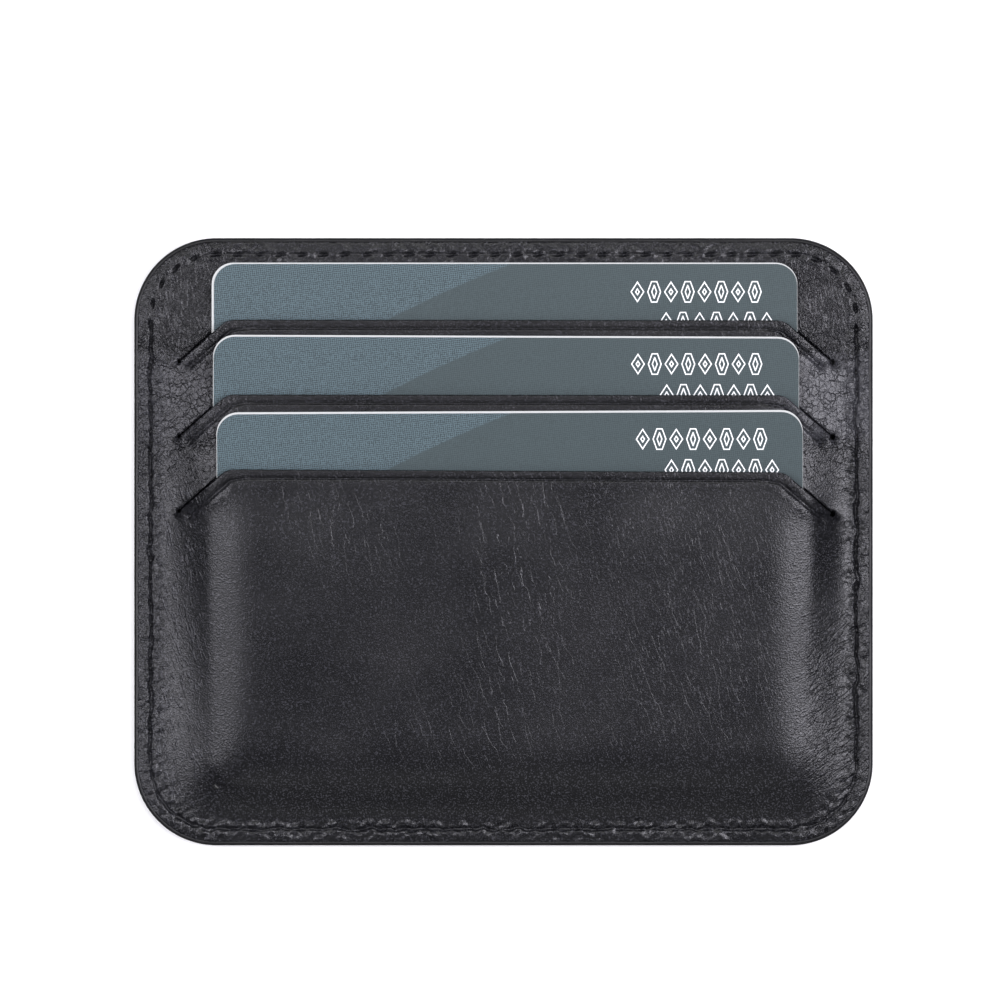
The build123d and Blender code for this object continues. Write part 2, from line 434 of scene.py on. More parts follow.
def treeOf(points):
    tree = kdtree.KDTree(len(points))
    for i, p in enumerate(points):
        tree.insert((p[0], p[1], 0), i)
    tree.balance()
    return tree


def keepApart(chosen, points, spacing):
    # drops the points that stand too near to those already chosen
    tree = treeOf(chosen)
    return np.array([p for p in points if tree.find((p[0], p[1], 0))[2] > spacing])


def hexPoints(spacing):
    # points in rows, every other row shifted by half the spacing
    rows = []
    y = -halfHeight
    shift = 0
    while y < halfHeight:
        x = np.arange(-halfWidth + shift * spacing / 2, halfWidth, spacing)
        rows.append(np.stack([x, np.full(len(x), y)], 1))
        y += spacing * math.sqrt(3) / 2
        shift = 1 - shift
    return np.concatenate(rows)


def pastCorners(points):
    # how far each point is beyond the rectangle between the corners' centres
    return np.abs(points) - (np.array((halfWidth, halfHeight)) - plan["cornerRadius"])


def depthIn(points):
    # distance inwards from the outline
    radius = plan["cornerRadius"]
    over = pastCorners(points)
    far = np.linalg.norm(np.maximum(over, 0), axis=1)
    return np.where((over > 0).any(1), radius - far, radius - over.max(1))


def seamPhase(points):
    # how far along the stitch each point near the rim is, in millimetres from the nearest needle hole
    tree = treeOf(seamLine)
    found = np.array([tree.find((p[0], p[1], 0))[1] for p in points])
    pitch = seamLength / plan["stitches"]
    along = found * seamLength / len(seamLine)
    return (along + pitch / 2) % pitch - pitch / 2


seamLine = ring(plan["seamInset"])


def triangulate(loops, free):
    # joins the points of the loops and the free points with triangles that all face up
    verts, edges = [], []
    for loop in loops:
        first = len(verts)
        verts += [Vector(p) for p in loop]
        edges += [(first + i, first + (i + 1) % len(loop)) for i in range(len(loop))]
    verts += [Vector(p) for p in free]
    points, _, faces, *_ = delaunay_2d_cdt(verts, edges, [], 0, 1e-7)
    points, faces = np.array(points), np.array([f[:] for f in faces])
    a, b, c = [points[faces[:, i]] for i in range(3)]
    down = np.cross(b - a, c - a) < 0
    faces[down] = faces[down][:, ::-1]
    return points, faces


def cotWeights(points, faces):
    # how strongly each point is tied to its neighbours, whatever the size of the triangles
    rows, cols, weights = [], [], []
    for a, b, c in ((0, 1, 2), (1, 2, 0), (2, 0, 1)):
        u = points[faces[:, a]] - points[faces[:, c]]
        v = points[faces[:, b]] - points[faces[:, c]]
        cross = np.abs(u[:, 0] * v[:, 1] - u[:, 1] * v[:, 0]) + 1e-12
        cot = np.clip((u * v).sum(1) / cross, 0.02, 8)
        rows += [faces[:, a], faces[:, b]]
        cols += [faces[:, b], faces[:, a]]
        weights += [cot, cot]
    return np.concatenate(rows), np.concatenate(cols), np.concatenate(weights)


def relax(z, points, faces, pace, low, high, steps):
    # lets the leather settle between what holds it up and what lies on it
    rows, cols, weights = cotWeights(points, faces)
    total = np.bincount(rows, weights, len(z))
    total[total == 0] = 1
    for _ in range(steps):
        mean = np.bincount(rows, weights * z[cols], len(z)) / total
        z = np.clip(z + pace * (mean - z), low, high)
    return z


def roundedDrop(distance, radius):
    inside = np.clip(radius - distance, 0, radius)
    return radius - np.sqrt(radius * radius - inside * inside)


seam = {                       # what the sewing does to both leathers
    "reach": 3.2,              # how far from the seam it shows
    "sideStart": 7,            # where the straight sides' own way begins, and how long the change takes
    "puckerAt": 0.75,
    "puckerWide": 0.45,
    "wanderPitch": [2.3, 4.1],
    "lumpPitch": [1.1, 1.5, 2.2],
    "lumpsAt": 0.9,
    "lumpsOnTop": 0.5,
    "seeds": (5, 8),
}


def seamSide(points):
    # shares of the top, the sides and the bottom in each point's part of the seam
    over = pastCorners(points)
    upright = smoothStep((over[:, 0] - over[:, 1] - seam["sideStart"]) / seam["sideStart"])
    above = points[:, 1] > 0
    return np.stack([(1 - upright) * above, upright, (1 - upright) * ~above], 1)


def lumpy(points, pitches, seed):
    # an even mixture of short waves in every direction
    rng = np.random.default_rng(seed)
    total = np.zeros(len(points))
    for pitch in pitches:
        for _ in range(4):
            angle, phase = rng.uniform(0, 2 * math.pi, 2)
            across = points @ (math.cos(angle), math.sin(angle))
            total += np.sin(across * 2 * math.pi / pitch + phase)
    return total / math.sqrt(2 * len(pitches))


def stitchedRim(points, depth, values):
    # the sewn groove, its needle holes and the puckers beside them
    shares = seamSide(points)
    grooveDepth, holeDepth, pucker = [
        shares @ np.broadcast_to(values[name], 3) for name in ("grooveDepth", "holeDepth", "pucker")
    ]
    off = depth - plan["seamInset"]
    near = np.abs(off) < seam["reach"]
    phase = np.full(len(points), 9.0)
    phase[near] = seamPhase(points[near])
    pitch = seamLength / plan["stitches"]
    turn = math.radians(values["holeTurn"])
    along = phase * math.cos(turn) + off * math.sin(turn)
    across = off * math.cos(turn) - phase * math.sin(turn)
    hole = np.exp(-(along / values["holeLong"]) ** 2 - (across / values["holeWide"]) ** 2)
    wanderSeed, lumpSeed = seam["seeds"]
    wander = values["grooveWander"] * lumpy(points, seam["wanderPitch"], wanderSeed)
    groove = np.exp(-((off - wander * (1 - shares[:, 0])) / values["grooveWidth"]) ** 2)
    swell = np.exp(-((np.abs(off) - seam["puckerAt"]) / seam["puckerWide"]) ** 2)
    swell *= 0.55 - 0.45 * np.cos(2 * math.pi * phase / pitch)
    rough = values["lumps"] * lumpy(points, seam["lumpPitch"], lumpSeed)
    rough *= 1 - seam["lumpsOnTop"] * shares[:, 0]
    rough *= np.exp(-(np.maximum(np.abs(off) - seam["lumpsAt"], 0) / seam["lumpsAt"]) ** 2)
    swell[~near] = 0
    return pucker * swell + rough * near - holeDepth * hole - grooveDepth * groove


def solidSheet(name, points, faces, top, bottom):
    # closes an upper and a lower surface with walls along every free edge
    count = len(points)
    verts = np.concatenate([np.column_stack([points, top]), np.column_stack([points, bottom])]) / metre
    edges = np.concatenate([faces[:, [0, 1]], faces[:, [1, 2]], faces[:, [2, 0]]])
    key = np.sort(edges, axis=1)
    _, first, uses = np.unique(key, axis=0, return_index=True, return_counts=True)
    free = edges[first[uses == 1]]
    walls = [(b, a, a + count, b + count) for a, b in free]
    allFaces = faces.tolist() + (faces[:, ::-1] + count).tolist() + walls
    return makeMesh(name, verts, allFaces)


def makeMesh(name, verts, faces, smooth=True):
    mesh = bpy.data.meshes.new(name)
    mesh.from_pydata([tuple(map(float, v)) for v in verts], [], [tuple(map(int, f)) for f in faces])
    mesh.validate()
    mesh.update()
    if smooth:
        mesh.shade_smooth()
    piece = bpy.data.objects.new(name, mesh)
    bpy.context.scene.collection.objects.link(piece)
    return piece


def frontPlan():
    # the points and triangles of the front leather, seen from above
    loops = [ring(plan["trimInset"])] + [slitLoop(k) for k in range(3)]
    chosen = np.concatenate(loops)
    rings = [ring(inset, 1 if inset > 0.7 else 2) for inset in frontMesh["rings"]]
    besideSlit, besideCrease = [], []
    for k in range(3):
        for gap in frontMesh["besideSlit"]:
            edge = gap + math.copysign(plan["slitHalfGap"], gap)
            besideSlit.append(resample(alongSlit(slits[k], edge), frontMesh["alongSlit"]))
        for gap in frontMesh["besideCrease"]:
            besideCrease.append(resample(alongSlit(creases[k], gap), frontMesh["alongCrease"]))
    stages = [rings, besideSlit, besideCrease, [hexPoints(frontMesh["field"])]]
    for stage, apart in zip(stages, frontMesh["apart"]):
        fresh = keepApart(chosen, np.concatenate(stage), apart)
        fresh = fresh[depthIn(fresh) > plan["trimInset"] + frontMesh["fromRim"]]
        for k in range(3):
            fresh = fresh[slitClearance(fresh, k) > frontMesh["fromCut"]]
        chosen = np.concatenate([chosen, fresh])
    points, faces = triangulate(loops, chosen[sum(len(loop) for loop in loops):])
    middle = points[faces].mean(1)
    for k in range(3):
        # the triangles inside the cut are left out
        keep = slitClearance(middle, k) > -0.002
        middle, faces = middle[keep], faces[keep]
    return points, faces


def cardLimits(points, tile):
    # how low the leather may lie on its own card, and how high it may stand below the next one
    low = np.full(len(points), -99.0)
    high = np.full(len(points), 99.0)
    x, y = points[:, 0], points[:, 1]
    for k, card in enumerate(cards):
        # the leather rolls over the card's edges rather than folding sharply
        centre = np.array((card["left"] + card["right"], card["bottomY"] + card["topY"])) / 2
        half = np.array((card["right"] - card["left"], card["topY"] - card["bottomY"])) / 2
        beyond = np.abs(points - centre) - half + front["cardCorner"]
        gap = np.linalg.norm(np.maximum(beyond, 0), axis=1) - front["cardCorner"]
        roll = np.maximum(gap + front["rollInside"], 0) ** 2 / (2 * front["rollRadius"])
        over = (tile == k + 1) & (roll < front["rollEnd"])
        low[over] = (cardLevel(card, y) + front["thick"] + front["clearOver"] - roll)[over]
        under = (x > card["left"]) & (x < card["right"]) & (y < card["topY"] + 0.2) & (tile == k)
        high[under] = cardLevel(card, y[under]) - card["thick"] - front["clearUnder"]
    return low, high


def settledFront(points, faces, tile, depth):
    # the leather's height after it has settled over the cards
    rises = [np.full(len(points), rimHigh)] + [frontRise(points, k) for k in range(3)]
    z = joinStrips(points, tile, rises)
    z += unevenness(points) * smoothStep((depth - front["seamClear"]) / 3)
    low, high = cardLimits(points, tile)
    blended = (z + low + np.sqrt((z - low) ** 2 + front["rollBlend"] ** 2)) / 2
    z = np.where(low > -9, blended, z)
    pace = np.where(depth < front["seamClear"], 0.0, front["pace"])
    return relax(z, points, faces, pace, low, high, front["relaxSteps"])


def pressedLines(points, tile):
    # the line pressed below each slit, the ridge beyond it and the dot at either end
    middle = (plan["mouthLeft"] + plan["mouthRight"]) / 2
    onSide = smoothStep((np.abs(points[:, 0] - middle) - plan["mouthRight"] + 1.5) / 2)
    deep, wide = [
        a * (1 - onSide) + b * onSide for a, b in (front["creaseDepth"], front["creaseWidth"])
    ]
    change = np.zeros(len(points))
    for k in range(3):
        toSlit, _ = distanceTo(points, slits[k])
        reach, _ = distanceTo(points, creases[k])
        below = tile == k + 1
        change -= deep * np.exp(-(reach / wide) ** 2) * below
        beyond = below & (toSlit > plan["creaseOnMouth"])
        ridge = (reach - front["ridgeAt"]) / front["ridgeWide"]
        change += front["creaseRidge"] * np.exp(-ridge ** 2) * beyond
        for end in (creases[k][0], creases[k][-1]):
            dot = np.linalg.norm(points - end, axis=1)
            change -= front["creaseDot"] * np.exp(-(dot / front["dotWide"]) ** 2) * below
    return change


def frontLeather():
    points, faces = frontPlan()
    print("front leather plan", len(points), "points", len(faces), "faces")
    tile = tileOf(points)
    depth = depthIn(points)
    z = settledFront(points, faces, tile, depth)
    z += pressedLines(points, tile) + stitchedRim(points, depth, front)
    start, length = front["rimFallFrom"]
    z -= front["rimFall"] * np.clip((start - depth) / length, 0, 1) ** front["rimFallCurve"]
    drop = roundedDrop(depth - plan["trimInset"], front["rimRadius"])
    for k in range(3):
        lip = roundedDrop(np.maximum(slitClearance(points, k), 0), front["lipRadius"])
        drop = np.maximum(drop, lip)
    under = relaxedUnderside(z, points, faces, depth)
    piece = solidSheet("frontLeather", points, faces, z - drop, under)
    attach(piece, "holder")
    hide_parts("front_panel")
    return piece


def relaxedUnderside(z, points, faces, depth):
    # the inner side doesn't follow the fine dents of the outer one
    free = np.full(len(z), 99.0)
    under = relax(z - front["thick"], points, faces, front["pace"], -free, free, front["relaxUnder"])
    return np.where(depth < front["seamClear"], rimHigh - front["thick"], under)


back = {
    "thick": 1.0,
    "rings": [0.2, 0.3, 0.45, 0.65, 1.0, 1.5, 1.8, 2.05, 2.22, 2.4, 2.58, 2.75, 3.0, 3.5, 4.1],
    "field": [1.2, 0.7],       # spacing of the points within, and their least distance
    "footInset": 3.2,
    "levelInset": 8.5,
    "rimRadius": 0.4,
    "grooveDepth": 0.2,
    "grooveWidth": 0.42,
    "grooveWander": 0.0,
    "holeDepth": 0.4,
    "holeLong": 0.42,
    "holeWide": 0.24,
    "holeTurn": -12,
    "pucker": 0.05,
    "lumps": 0.0,
}


def backLeather():
    trim = plan["trimInset"] * 0.5
    outline = ring(trim)
    chosen = np.concatenate([outline] + [ring(inset, 2) for inset in back["rings"]])
    spacing, apart = back["field"]
    fresh = keepApart(chosen, hexPoints(spacing), apart)
    fresh = fresh[depthIn(fresh) > plan["trimInset"]]
    points, faces = triangulate([outline], np.concatenate([chosen[len(outline):], fresh]))
    depth = depthIn(points)
    swell = rimLow * smoothStep((depth - back["footInset"]) / (back["levelInset"] - back["footInset"]))
    outer = rimLow - swell + roundedDrop(depth - trim, back["rimRadius"])
    outer = np.maximum(outer - stitchedRim(points, depth, back), 0)
    inner = np.full(len(points), rimLow + back["thick"]) - swell
    piece = solidSheet("backLeather", points, faces, inner, outer)
    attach(piece, "holder")
    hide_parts("back_panel")
    return piece


coat = {
    "profile": [        # inset from the outline, share of the rim's height
        (0.56, 0.84), (0.47, 0.872), (0.36, 0.865), (0.24, 0.82), (0.12, 0.74), (0.04, 0.62),
        (0.07, 0.53), (0.02, 0.42), (0.0, 0.28), (0.06, 0.12), (0.2, 0.02), (0.45, 0.0),
        (0.75, 0.03), (0.75, 0.5),
    ],
    "waver": 0.025,
    "waverPitch": 17,
    "waverShift": 0.7,
}


def edgeCoat():
    rows = []
    turns = round(seamLength / coat["waverPitch"])
    along = 2 * math.pi * turns * np.arange(columns) / columns
    for i, (inset, share) in enumerate(coat["profile"]):
        waver = coat["waver"] * np.sin(along + i * coat["waverShift"]) * (0.2 < share < 0.9)
        rows.append(np.column_stack([ring(inset), rimLow + (rimHigh - rimLow) * share + waver]))
    piece = closedTube("edgeCoat", rows)
    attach(piece, "holder")
    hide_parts("edge_paint")
    return piece


def closedTube(name, rows):
    # rows are loops of equal length, joined round and along
    count, n = len(rows), len(rows[0])
    faces = []
    for i in range(count):
        j = (i + 1) % count
        faces += [(i * n + c, i * n + (c + 1) % n, j * n + (c + 1) % n, j * n + c) for c in range(n)]
    return makeMesh(name, np.concatenate(rows) / metre, faces)


thread = {
    "radius": 0.17,
    "sides": 9,
    "plies": 3,
    "plyDepth": 0.14,
    "plyTwist": 1.3,       # millimetres for one ply to go a third of the way round
    "stepsPerStitch": 18,
    "sink": [-0.02, 0.5, 0.2],    # how far a stitch lies below the leather's face: top, sides, bottom
    "dip": 0.9,
}


def lockstitchThread(name, level, direction, node):
    # three plies twisted together, which dip into a needle hole at each end of a stitch
    steps = plan["stitches"] * thread["stepsPerStitch"]
    base, normal, total = loopBase(steps)
    middle = base + normal * (plan["cornerRadius"] - plan["seamInset"])
    phase = (np.arange(steps) % thread["stepsPerStitch"]) / thread["stepsPerStitch"]
    dip = thread["dip"] * (np.abs(2 * phase - 1)) ** 3
    sink = seamSide(middle) @ np.array(thread["sink"])
    z = level - direction * (thread["radius"] + sink + dip)
    turns = round(total / thread["plyTwist"] / thread["plies"])
    twist = 2 * math.pi * turns * np.arange(steps) / steps
    rows = []
    for side in range(thread["sides"]):
        angle = 2 * math.pi * side / thread["sides"]
        radius = thread["radius"] * (1 + thread["plyDepth"] * np.cos(thread["plies"] * (angle - twist)))
        out, up = radius * math.cos(angle), radius * math.sin(angle)
        rows.append(np.column_stack([middle + normal * out[:, None], z + up]))
    piece = closedTube(name, rows)
    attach(piece, "holder")
    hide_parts(node)
    return piece


cloth = {
    "thick": 0.1,
    "sideSlack": 0.3,
    "foldSlack": 1.0,
    "turnSlack": 1.2,          # the same below the card underneath
    "slack": 0.1,
    "between": 0.03,           # room between one pocket's back leg and the last one's front leg
    "tuck": 4,                 # how far the back leg reaches up behind the strip above
    "startBelow": 0.6,         # how far below the mouth's middle the front leg starts
    "besideSlit": 1.2,
    "ripple": 0.012,
    "ripples": (0.9, 0.35, 0.5),
    "columns": 90,
    "rowSpacing": 0.9,
}


def foldedCloth(name, route, left, right, thick, trim=None):
    # a band of cloth that follows a route in the YZ plane, with an even thickness and a slight ripple
    line = resample(np.array(route), cloth["rowSpacing"])
    ahead = np.gradient(line, axis=0)
    across = np.stack([-ahead[:, 1], ahead[:, 0]], 1)
    across /= np.linalg.norm(across, axis=1)[:, None]
    xs = np.linspace(left, right, cloth["columns"])
    verts, faces = [], []
    rows, cols = len(line), len(xs)
    alongX, alongRow, slow = cloth["ripples"]
    for side in (-1, 1):
        for r in range(rows):
            for x in xs:
                ripple = cloth["ripple"] * math.sin(x * alongX + r * alongRow) * math.sin(r * slow + 1)
                y, z = line[r] + across[r] * (side * thick / 2 + ripple)
                if trim is not None:
                    y, z = trim(x, y, z, r, rows)
                verts.append((x, y, z))
    size = rows * cols
    for r in range(rows - 1):
        for c in range(cols - 1):
            a = r * cols + c
            faces.append((a, a + cols, a + cols + 1, a + 1))
            faces.append((size + a, size + a + 1, size + a + cols + 1, size + a + cols))

    def wall(a, step, flip):
        quad = (a, a + step, size + a + step, size + a)
        faces.append(quad[::-1] if flip else quad)

    for r in range(rows - 1):
        wall(r * cols, cols, True)
        wall(r * cols + cols - 1, cols, False)
    for c in range(cols - 1):
        wall(c, 1, False)
        wall((rows - 1) * cols + c, 1, True)
    return makeMesh(name, np.array(verts) / metre, faces), line


def pocketCloth(k):
    # from the strip above, down behind the card, round its lower edge and up to the mouth
    card, mouth = cards[k], plan["mouthY"][k]
    half = cloth["thick"] / 2
    fold = card["bottomY"] - cloth["foldSlack"]
    if k == 0:
        level = rimHigh - front["thick"] - half
        backLeg = [(mouth + cloth["tuck"], level), (mouth - 1, level)]
    else:
        below = cards[k - 1]
        over = cloth["slack"] + cloth["thick"] + half + cloth["between"]
        turn = below["bottomY"] - cloth["turnSlack"]
        backLeg = [(y, cardLevel(below, y) + over) for y in (mouth + cloth["tuck"], turn)]
    clear = cloth["slack"] + half
    start = mouth - plan["mouthFall"][k] - cloth["startBelow"]
    route = backLeg + [
        (fold, cardLevel(card, fold) - card["thick"] - clear),
        (fold, cardLevel(card, fold) + clear),
        (start, cardLevel(card, start) + clear),
    ]

    def trim(x, y, z, r, rows):
        # the front leg's upper corners follow the slit's diagonals
        limit = np.interp(x, slits[k][:, 0], slits[k][:, 1]) - cloth["besideSlit"]
        if r > rows / 2 and y > limit:
            z += (limit - y) * card["slope"]
            y = limit
        return y, z

    left, right = card["left"] - cloth["sideSlack"], card["right"] + cloth["sideSlack"]
    name = f"pocketCloth{cardNames[k].title()}"
    piece, line = foldedCloth(name, route, left, right, cloth["thick"], trim)
    length = np.linalg.norm(np.diff(line, axis=0), axis=1).sum()
    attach(piece, "holder")
    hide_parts(f"pocket_liner_{cardNames[k]}")
    flat = ((right - left) / metre, length / metre)
    return piece


def backCloth():
    low, high = cadBoxMm("back_lining")
    z = (low[2] + high[2]) / 2
    route = [(low[1], z), (high[1], z)]
    piece, _ = foldedCloth("backCloth", route, low[0], high[0], (high[2] - low[2]) * 0.9)
    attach(piece, "holder")
    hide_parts("back_lining")
    return piece


mark = {
    "fromLeft": [61.0, 65.2],      # left end of each row, from the card's left edge
    "fromTop": [2.7, 7.2],
    "count": [8, 7],
    "step": 2.45,
    "tall": 3.15,
    "wide": 2.05,
    "band": 0.55,                  # between the outer and the inner outline
    "line": 0.17,
    "proud": 0.012,
    "sunk": 0.004,
    "shapes": [                    # shares of the width and the height: a diamond, a hexagon
        [(0, 0.5), (0.5, 0), (1, 0.5), (0.5, 1)],
        [(0, 0.5), (0.28, 0), (0.72, 0), (1, 0.5), (0.72, 1), (0.28, 1)],
    ],
}


def outlineOf(shape, shrink):
    # one of the shapes, drawn in by the same distance on every side
    points = (np.array(shape) - 0.5) * (mark["wide"], mark["tall"])
    made = []
    for i in range(len(points)):
        a, b, c = points[i - 1], points[i], points[(i + 1) % len(points)]
        u, v = (b - a) / np.linalg.norm(b - a), (c - b) / np.linalg.norm(c - b)
        n1, n2 = np.array((-u[1], u[0])), np.array((-v[1], v[0]))
        made.append(b + (n1 + n2) / (1 + n1 @ n2) * shrink)
    return np.array(made)


def cardMark(name, card):
    # two rows of outlined hexagons and diamonds, a plain ornament in place of a name
    verts, faces = [], []
    line, proud = mark["line"], mark["proud"]
    profile = ((0, 0), (0, proud), (line, proud), (line, 0))
    for fromLeft, fromTop, count in zip(mark["fromLeft"], mark["fromTop"], mark["count"]):
        for i in range(count):
            middle = card["left"] + fromLeft + (i + 0.5) * mark["step"]
            centre = np.array((middle, card["topY"] - fromTop - mark["tall"] / 2))
            shape = mark["shapes"][i % 2]
            n = len(shape)
            for start in (0, mark["band"]):
                first = len(verts)
                for inwards, lift in profile:
                    for px, py in outlineOf(shape, start + inwards) + centre:
                        verts.append((px, py, cardLevel(card, py) + lift - mark["sunk"]))
                for level in range(4):
                    a, b = first + level * n, first + (level + 1) % 4 * n
                    faces += [(a + c, a + (c + 1) % n, b + (c + 1) % n, b + c) for c in range(n)]
    piece = makeMesh(f"{name}CardMark", np.array(verts) / metre, faces, smooth=False)
    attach(piece, f"{name}_card")
    return piece


class Wire:
    # one socket of a shader, on which sums can be written
    def __init__(self, shader, socket):
        self.shader, self.socket = shader, socket

    def __add__(self, other):
        return self.shader.maths("ADD", self, other)

    def __sub__(self, other):
        return self.shader.maths("SUBTRACT", self, other)

    def __mul__(self, other):
        return self.shader.maths("MULTIPLY", self, other)

    def __truediv__(self, other):
        return self.shader.maths("DIVIDE", self, other)

    def __radd__(self, other):
        return self.shader.maths("ADD", other, self)

    def __rsub__(self, other):
        return self.shader.maths("SUBTRACT", other, self)

    def __rmul__(self, other):
        return self.shader.maths("MULTIPLY", other, self)

    def __abs__(self):
        return self.shader.maths("ABSOLUTE", self)

    def out(self, name):
        return Wire(self.shader, self.socket.node.outputs[name])


class Shader:
    def __init__(self, name):
        self.material = bpy.data.materials.new(name)
        self.material.use_nodes = True
        self.tree = self.material.node_tree
        self.tree.nodes.clear()

    def node(self, kind, settings=None, sockets=None):
        made = self.tree.nodes.new(kind)
        for name, value in (settings or {}).items():
            setattr(made, name, value)
        for name, value in (sockets or {}).items():
            if isinstance(value, Wire):
                self.tree.links.new(value.socket, made.inputs[name])
            else:
                made.inputs[name].default_value = value
        return Wire(self, next(o for o in made.outputs if o.enabled)) if made.outputs else None

    def maths(self, operation, *values):
        return self.node("ShaderNodeMath", {"operation": operation}, dict(enumerate(values)))

    def clamp(self, value):
        return self.node("ShaderNodeClamp", {}, {"Value": value})

    def place(self):
        return self.node("ShaderNodeTexCoord").out("Object")

    def parts(self, vector):
        # the X and Y of a place
        split = self.node("ShaderNodeSeparateXYZ", {}, {"Vector": vector})
        return split, split.out("Y")

    def stretch(self, vector, scale, turn=0.0):
        # turns (in degrees) first and then stretches, so that strokes lie at the angle asked for
        inverse = tuple(1 / v for v in scale)
        sockets = {"Vector": vector, "Scale": inverse, "Rotation": (0, 0, -math.radians(turn))}
        return self.node("ShaderNodeMapping", {"vector_type": "TEXTURE"}, sockets)

    def bend(self, vector, scale, amount):
        sway = {0: self.noise(vector, scale).out("Color"), 1: (amount,) * 3, 2: vector}
        return self.node("ShaderNodeVectorMath", {"operation": "MULTIPLY_ADD"}, sway)

    def fade(self, value, low, high):
        sockets = {"Value": value, "From Min": low, "From Max": high}
        return self.node("ShaderNodeMapRange", {"interpolation_type": "SMOOTHSTEP"}, sockets)

    def rise(self, value, start, end):
        # the same as a fade, with its limits in millimetres
        return self.fade(value, start / metre, end / metre)

    def band(self, value, start, full, fall, end):
        return self.rise(value, start, full) * (1 - self.rise(value, fall, end))

    def noise(self, vector, scale, detail=2.0):
        return self.node("ShaderNodeTexNoise", {}, {"Vector": vector, "Scale": scale, "Detail": detail})

    def mix(self, share, a, b):
        settings = {"data_type": "RGBA", "clamp_factor": True}
        mixed = self.node("ShaderNodeMix", settings, {"Factor": share}).socket.node
        for index, value in ((6, a), (7, b)):
            if isinstance(value, Wire):
                self.tree.links.new(value.socket, mixed.inputs[index])
            else:
                mixed.inputs[index].default_value = (*value, 1)
        return Wire(self, mixed.outputs[2])

    def bump(self, height, distance, strength=1.0):
        sockets = {"Height": height, "Distance": distance, "Strength": strength}
        return self.node("ShaderNodeBump", {}, sockets)

    def finish(self, sockets):
        surface = self.node("ShaderNodeBsdfPrincipled", {}, sockets)
        self.node("ShaderNodeOutputMaterial", {}, {"Surface": surface})
        return self.material


def paint(piece, material):
    piece.data.materials.clear()
    piece.data.materials.append(material)


leather = {
    "colour": (0.0040, 0.0041, 0.0052),
    # the lighter tone, used by the marks and by the painted highlight
    "markAndHighlightTone": (0.034, 0.034, 0.0405),
    # painted shade in the cracks
    "crackShadeColour": (0.0035, 0.0035, 0.0035),
    "roughness": 0.305,
    "speckleScale": 4300,
    "slant": -12,                  # degrees, how the strokes and folds lie
    "dashScale": (2900, 800),      # across and along the short light strokes, to the metre
    "foldScale": (900, 2300),      # the same near the sides, where they lie level
    "crackScale": (620, 520),
    "fineScale": (1302, 936),
    "wrinkles": {"scale": (1100, 190), "turn": 55, "sway": (300, 0.0012), "wide": 0.06},
    "hairs": {"scale": (1250, 210), "turn": -14, "sway": (260, 0.0012), "wide": 0.07},
    "veins": [                     # turn in degrees, spacing, sway
        (-20, 0.00125, 1.5), (-12, 0.0019, 1.2),
    ],
    "veinWidth": 0.14,
    "veinsElsewhere": 0.04,
    "clusters": [                  # centre, half width, half height, share of veins
        (2.5, -8, 5.0, 17, 1.3), (-23, 1, 6, 5, 0.4), (29, -16, 9, 15, 0.5), (-6, -31, 13, 8, 0.3),
        (-48.5, -9, 2.6, 11, 0.9), (-38, 20, 3, 4, 0.5), (-29, 8, 4, 5, 0.25),
    ],
    # areas in millimetres: where each starts, is full, starts to fall and ends
    "side": (37.5, 43.0),          # from here outwards the leather is folded rather than streaked
    "rim": (50.3, 51.2),
    "besideSlits": (6, 16, 27, 34),
    # where the painted highlight between the slits lies
    "betweenSlitsHighlight": (13.5, 16.5, 26.5, 28.5),
    "aboveSlits": (24.5, 28.5),
    "leftFoot": (-51.5, -49.5, -45.5, -42.5),
    "leftFootTop": (10, 14),
    "lowRight": (42, 47),
    "lowRightTop": (-16, -6),
    # where the painted highlight along the left rim lies
    "leftRimHighlight": (-50.5, -47.5),
    # where the painted shade beside the card lies, across and up
    "besideCardShade": (-48.5, -46.0, -40, -39),
    "besideCardShadeUp": (6, 9, 14.5, 16.5),
    # how much each kind of mark lightens the leather and stands out from it; the left rim's share is a
    # painted highlight, the share beside the card a painted shade
    "lightens": {"veins": 0.55, "streaks": 0.42, "hairs": 0.8, "leftRimHighlight": 0.36, "besideCardShade": -0.16},
    "relief": {"streaks": 0.5, "veins": 0.8, "hairs": 1.2, "cracks": -2.6},
    "bump": 0.00004,
}


def strokes(s, place, scale, turn):
    # short soft dashes side by side
    lines = s.stretch(s.bend(place, 500, 0.0006), (*scale, 1), turn)
    return s.fade(s.noise(lines, 1.0, 1.0), 0.5, 0.75)


def crackle(s, place, scale, turn, sway, wide):
    # the lines between irregular cells
    lines = s.stretch(s.bend(place, *sway), (*scale, 1), turn)
    settings = {"voronoi_dimensions": "2D", "feature": "DISTANCE_TO_EDGE"}
    away = s.node("ShaderNodeTexVoronoi", settings, {"Vector": lines, "Scale": 1.0}).out("Distance")
    return 1 - s.fade(away, 0.0, wide)


def longLines(s, place, values):
    # thin lines that follow the middle of a stretched noise
    lines = s.stretch(s.bend(place, *values["sway"]), (*values["scale"], 1), values["turn"])
    return 1 - s.fade(abs(s.noise(lines, 1.0, 1.0) - 0.5), 0.0, values["wide"])


def rivers(s, place, turn, spacing, sway, wide):
    # long wavy lines side by side, broken here and there
    turned = s.stretch(place, (1, 1, 1), turn)
    across, _ = s.parts(turned)
    shift = s.noise(s.stretch(turned, (420, 190, 1)), 1.0, 2.5)
    away = abs(s.maths("SINE", (across / spacing + shift * sway * 2) * math.pi))
    broken = s.fade(s.noise(s.stretch(turned, (900, 150, 1)), 1.0, 1.0), 0.47, 0.56)
    return (1 - s.fade(away, 0.0, wide)) * broken


def veinShare(s, x, y, values):
    # how much of the veins each part of the leather shows
    total = values["veinsElsewhere"]
    for px, py, wide, tall, share in values["clusters"]:
        dx, dy = (x - px / metre) / (wide / metre), (y - py / metre) / (tall / metre)
        total = s.maths("EXPONENT", (dx * dx + dy * dy) * -1.0) * share + total
    return total


